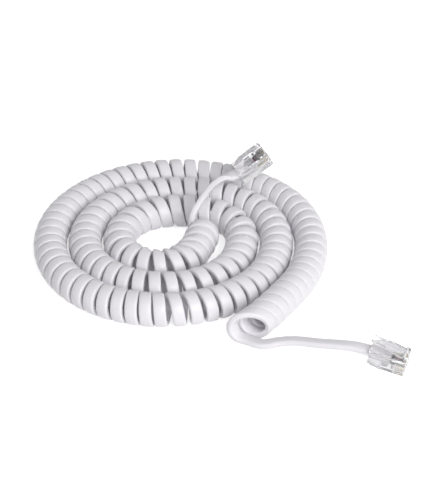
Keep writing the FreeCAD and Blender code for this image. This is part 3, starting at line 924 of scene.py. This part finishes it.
def row_tree():
    tree = bpy.data.node_groups.new("even_row", "GeometryNodeTree")
    given, made = add_sockets(
        tree,
        [("Piece", "NodeSocketGeometry", None), ("Count", "NodeSocketInt", 1),
         ("Pitch", "NodeSocketFloat", 0.001), ("Finish", "NodeSocketMaterial", None)],
        [("Row", "NodeSocketGeometry")])
    nodes, links = tree.nodes, tree.links
    gaps = nodes.new("ShaderNodeMath")
    gaps.operation = "SUBTRACT"
    gaps.inputs[1].default_value = 1
    reach = nodes.new("ShaderNodeMath")
    reach.operation = "MULTIPLY"
    start = nodes.new("ShaderNodeMath")
    start.operation = "MULTIPLY"
    start.inputs[1].default_value = -0.5
    first = nodes.new("ShaderNodeCombineXYZ")
    step = nodes.new("ShaderNodeCombineXYZ")
    line = nodes.new("GeometryNodeMeshLine")
    line.mode = "OFFSET"
    copies = nodes.new("GeometryNodeInstanceOnPoints")
    real = nodes.new("GeometryNodeRealizeInstances")
    finish = nodes.new("GeometryNodeSetMaterial")
    links.new(given.outputs["Count"], gaps.inputs[0])
    links.new(gaps.outputs[0], reach.inputs[0])
    links.new(given.outputs["Pitch"], reach.inputs[1])
    links.new(reach.outputs[0], start.inputs[0])
    links.new(start.outputs[0], first.inputs["Y"])
    links.new(given.outputs["Pitch"], step.inputs["Y"])
    links.new(given.outputs["Count"], line.inputs["Count"])
    links.new(first.outputs["Vector"], line.inputs["Start Location"])
    links.new(step.outputs["Vector"], line.inputs["Offset"])
    links.new(line.outputs["Mesh"], copies.inputs["Points"])
    links.new(given.outputs["Piece"], copies.inputs["Instance"])
    links.new(copies.outputs["Instances"], real.inputs["Geometry"])
    links.new(real.outputs["Geometry"], finish.inputs["Geometry"])
    links.new(given.outputs["Finish"], finish.inputs["Material"])
    links.new(finish.outputs["Geometry"], made.inputs["Row"])
    return tree


def add_tree(piece, tree, **values):
    """Put a tree on a piece and set its inputs by their identifiers."""
    modifier = piece.modifiers.new(tree.name, "NODES")
    modifier.node_group = tree
    for socket in tree.interface.items_tree:
        if socket.in_out == "INPUT" and socket.name in values:
            modifier[socket.identifier] = values[socket.name]
    return modifier


even_row = row_tree()
for side in SIDES:
    row = blade_piece(f"{side}_contact_row")
    add_tree(row, even_row, Count=CONTACTS, Pitch=WIRE_PITCH, Finish=gold)
    finished_mesh(row).transform(plug_matrix(side))
    plug_pieces[side]["contact_row"] = row
    print(side, "contacts:", len(row.data.polygons), "faces")

# %% [markdown]
# ## The four wires
#
# Inside the plug the jacket stops, and four thin insulated wires go on to the contacts, side by
# side. They show through the plastic as small dark and bright spots near the nose. Each wire is a
# line that is given a round section, with a thinner line of bare tinsel that shows at its cut
# end, so one Geometry Nodes tree makes all of them from a length and two thicknesses.

# %% Geometry Nodes: an insulated wire
WIRE_START = JACKET_END
WIRE_END = 11.17 * mm
WIRE_DIAMETER = 0.9 * mm
TINSEL_DIAMETER = 0.42 * mm
TINSEL_LENGTH = 0.25 * mm
WIRE_STEPS = 8
WIRE_SIDES = 20


def rod(tree, start, end, diameter, finish):
    """Nodes for a straight rod from one x to another, with its finish."""
    nodes, links = tree.nodes, tree.links
    ends = [nodes.new("ShaderNodeCombineXYZ"), nodes.new("ShaderNodeCombineXYZ")]
    line = nodes.new("GeometryNodeCurvePrimitiveLine")
    steps = nodes.new("GeometryNodeResampleCurve")
    steps.inputs["Count"].default_value = WIRE_STEPS
    radius = nodes.new("ShaderNodeMath")
    radius.operation = "MULTIPLY"
    radius.inputs[1].default_value = 0.5
    ring = nodes.new("GeometryNodeCurvePrimitiveCircle")
    ring.inputs["Resolution"].default_value = WIRE_SIDES
    skin = nodes.new("GeometryNodeCurveToMesh")
    skin.inputs["Fill Caps"].default_value = True
    dress = nodes.new("GeometryNodeSetMaterial")
    links.new(start, ends[0].inputs["X"])
    links.new(end, ends[1].inputs["X"])
    links.new(ends[0].outputs["Vector"], line.inputs["Start"])
    links.new(ends[1].outputs["Vector"], line.inputs["End"])
    links.new(line.outputs["Curve"], steps.inputs["Curve"])
    links.new(diameter, radius.inputs[0])
    links.new(radius.outputs[0], ring.inputs["Radius"])
    links.new(steps.outputs["Curve"], skin.inputs["Curve"])
    links.new(ring.outputs["Curve"], skin.inputs["Profile Curve"])
    links.new(skin.outputs["Mesh"], dress.inputs["Geometry"])
    links.new(finish, dress.inputs["Material"])
    return dress.outputs["Geometry"]


def wire_tree():
    tree = bpy.data.node_groups.new("insulated_wire", "GeometryNodeTree")
    given, made = add_sockets(
        tree,
        [("Start", "NodeSocketFloat", 0.0), ("End", "NodeSocketFloat", 0.005),
         ("Bare", "NodeSocketFloat", 0.0003),
         ("Diameter", "NodeSocketFloat", 0.001), ("Core", "NodeSocketFloat", 0.0005),
         ("Insulation", "NodeSocketMaterial", None), ("Tinsel", "NodeSocketMaterial", None)],
        [("Wire", "NodeSocketGeometry")])
    cut = tree.nodes.new("ShaderNodeMath")
    cut.operation = "SUBTRACT"
    both = tree.nodes.new("GeometryNodeJoinGeometry")
    real = tree.nodes.new("GeometryNodeRealizeInstances")
    value = given.outputs
    tree.links.new(value["End"], cut.inputs[0])
    tree.links.new(value["Bare"], cut.inputs[1])
    sleeve = rod(tree, value["Start"], cut.outputs[0], value["Diameter"], value["Insulation"])
    core = rod(tree, value["Start"], value["End"], value["Core"], value["Tinsel"])
    tree.links.new(sleeve, both.inputs["Geometry"])
    tree.links.new(core, both.inputs["Geometry"])
    tree.links.new(both.outputs["Geometry"], real.inputs["Geometry"])
    tree.links.new(real.outputs["Geometry"], made.inputs["Wire"])
    return tree


insulated_wire = wire_tree()
print("wire tree:", len(insulated_wire.nodes), "nodes")

# %% Insulation and tinsel finishes
INSULATION = {
    "black": (0.05, 0.05, 0.052, 1),
    "red": (0.20, 0.02, 0.06, 1),
    "green": (0.05, 0.12, 0.07, 1),
    "yellow": (0.50, 0.42, 0.18, 1),
}
TINSEL = (0.80, 0.48, 0.30, 1)


def insulation_finish(colour):
    material, nodes, links, shader = new_finish(f"insulation_{colour}")
    add_unevenness(nodes, links, shader, scale=1500, low=0.28, high=0.46, strength=0.1)
    shader.inputs["Base Color"].default_value = INSULATION[colour]
    return material


def tinsel_finish():
    material, nodes, links, shader = new_finish("tinsel")
    add_unevenness(nodes, links, shader, scale=4000, low=0.25, high=0.45, strength=0.3)
    shader.inputs["Base Color"].default_value = TINSEL
    shader.inputs["Metallic"].default_value = 1
    return material


tinsel = tinsel_finish()
insulation = {colour: insulation_finish(colour) for colour in INSULATION}
print("insulation:", list(insulation))

# %% The wires in their plugs


def wire_piece(side, index, colour):
    piece = add_piece(f"{side}_plug_wire_{colour}", bpy.data.meshes.new("wire"))
    add_tree(piece, insulated_wire, Start=WIRE_START, End=WIRE_END, Bare=TINSEL_LENGTH,
             Diameter=WIRE_DIAMETER, Core=TINSEL_DIAMETER,
             Insulation=insulation[colour], Tinsel=tinsel)
    across = (index - (CONTACTS - 1) / 2) * WIRE_PITCH
    in_plug = Matrix.Translation((0, across, CABLE_LEVEL))
    finished_mesh(piece).transform(plug_matrix(side) @ in_plug)
    piece.data.name = piece.name
    return piece


for side in SIDES:
    for index, colour in enumerate(INSULATION):
        plug_pieces[side][f"wire_{colour}"] = wire_piece(side, index, colour)
print("wires:", len(SIDES) * len(INSULATION))

# %% [markdown]
# ## Floor and surround
#
# The cord lies on a white table in a white surround. The table is pale plastic lit like the cord,
# so it keeps the cord's soft shadow. To the camera, and to gloss and clear plastic, both look
# plain white: Light Path tells these rays from the ones that light the cord, so the white behind
# adds no light.

# %% Floor and world
FLOOR_SIZE = 6.0
FLOOR_COLOUR = (0.92, 0.92, 0.92, 1)
FLOOR_ROUGHNESS = 0.9
WHITE = (1, 1, 1, 1)
FLOOR_GLOW = 0.64
SURROUND = 0.365


def seen_directly(nodes, links):
    """1 for rays from the camera, from gloss and through plastic, 0 for rays that light things."""
    path = nodes.new("ShaderNodeLightPath")
    either = nodes.new("ShaderNodeMath")
    either.operation = "MAXIMUM"
    seen = nodes.new("ShaderNodeMath")
    seen.operation = "MAXIMUM"
    links.new(path.outputs["Is Camera Ray"], either.inputs[0])
    links.new(path.outputs["Is Glossy Ray"], either.inputs[1])
    links.new(either.outputs[0], seen.inputs[0])
    links.new(path.outputs["Is Transmission Ray"], seen.inputs[1])
    return seen.outputs[0]


def spread(nodes, links, value, low, high):
    """Takes 0 to 1 to the range from low to high."""
    node = nodes.new("ShaderNodeMapRange")
    node.inputs["To Min"].default_value = low
    node.inputs["To Max"].default_value = high
    links.new(value, node.inputs["Value"])
    return node.outputs["Result"]


def add_floor():
    mesh = bpy.data.meshes.new("floor")
    half = FLOOR_SIZE / 2
    corners = [(-half, -half, 0), (half, -half, 0), (half, half, 0), (-half, half, 0)]
    mesh.from_pydata(corners, [], [(0, 1, 2, 3)])
    floor = add_piece("floor", mesh)
    material, nodes, links, shader = new_finish("pale_floor")
    shader.inputs["Base Color"].default_value = FLOOR_COLOUR
    shader.inputs["Roughness"].default_value = FLOOR_ROUGHNESS
    shader.inputs["Specular IOR Level"].default_value = 0
    shader.inputs["Emission Color"].default_value = WHITE
    glow = spread(nodes, links, seen_directly(nodes, links), 0, FLOOR_GLOW)
    links.new(glow, shader.inputs["Emission Strength"])
    mesh.materials.append(material)


def set_world():
    world = bpy.data.worlds.new("surround")
    scene.world = world
    world.use_nodes = True
    nodes, links = world.node_tree.nodes, world.node_tree.links
    background = nodes["Background"]
    background.inputs["Color"].default_value = WHITE
    strength = spread(nodes, links, seen_directly(nodes, links), SURROUND, 1)
    links.new(strength, background.inputs["Strength"])


add_floor()
set_world()
scene.view_settings.view_transform = "Standard"
print("surround:", SURROUND)

# %% [markdown]
# ## The lamp
#
# In the picture the tops of the curls are greyer than the sides that face the viewer, and the
# coil's mouth, which opens to the left, is dark inside. So the light is low, in front and to the
# right. A large disc gives it soft edges. Its power is worked out from the distance, so that the
# light on a surface that faces it is a plain, known share of white.

# %% Lamp
LAMP_ELEVATION = math.radians(34)
LAMP_RIGHT = math.radians(28)
LAMP_DISTANCE = 1.2
LAMP_SIZE = 0.9
LAMP_SHARE = 0.74


def add_lamp():
    data = bpy.data.lights.new("low_front_lamp", "AREA")
    data.shape = "DISK"
    data.size = LAMP_SIZE
    # A white surface that faces the lamp then shows this share of white
    data.energy = LAMP_SHARE * (math.pi * LAMP_DISTANCE) ** 2
    lamp = bpy.data.objects.new("low_front_lamp", data)
    scene.collection.objects.link(lamp)
    on_floor = Vector((math.sin(LAMP_RIGHT), -math.cos(LAMP_RIGHT), 0))
    towards = on_floor * math.cos(LAMP_ELEVATION) + UP * math.sin(LAMP_ELEVATION)
    aim(lamp, towards * LAMP_DISTANCE, (0, 0, 0))
    lamp.visible_camera = False
    return lamp


lamp = add_lamp()
print("lamp:", round(lamp.data.energy, 2), "W")

# %% [markdown]
# ## What each piece is
#
# Last, each piece is set to move with its body, and the solids it stands for are hidden. A table
# names the finish slot of each wire and contact row. The cable moves with the cord, in place of
# the solids of the coil and both tails.

# %% Rides, slots and replaced solids
STANDS_FOR = {"contact_row": [f"contact_{number}" for number in range(1, CONTACTS + 1)]}
SLOTS = {f"wire_{colour}": f"insulation_{colour}" for colour in INSULATION}
SLOTS["contact_row"] = "contact_gold"

for side in SIDES:
    for part, piece in plug_pieces[side].items():
        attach(piece, f"{side}_latch" if part == "latch" else "cord")
        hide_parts(*(f"{side}_{node}" for node in STANDS_FOR.get(part, [part])))

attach(curly_cable, "cord")
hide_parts("curly_cord", "front_tail", "rear_tail")
print("pieces:", 1 + sum(len(pieces) for pieces in plug_pieces.values()))
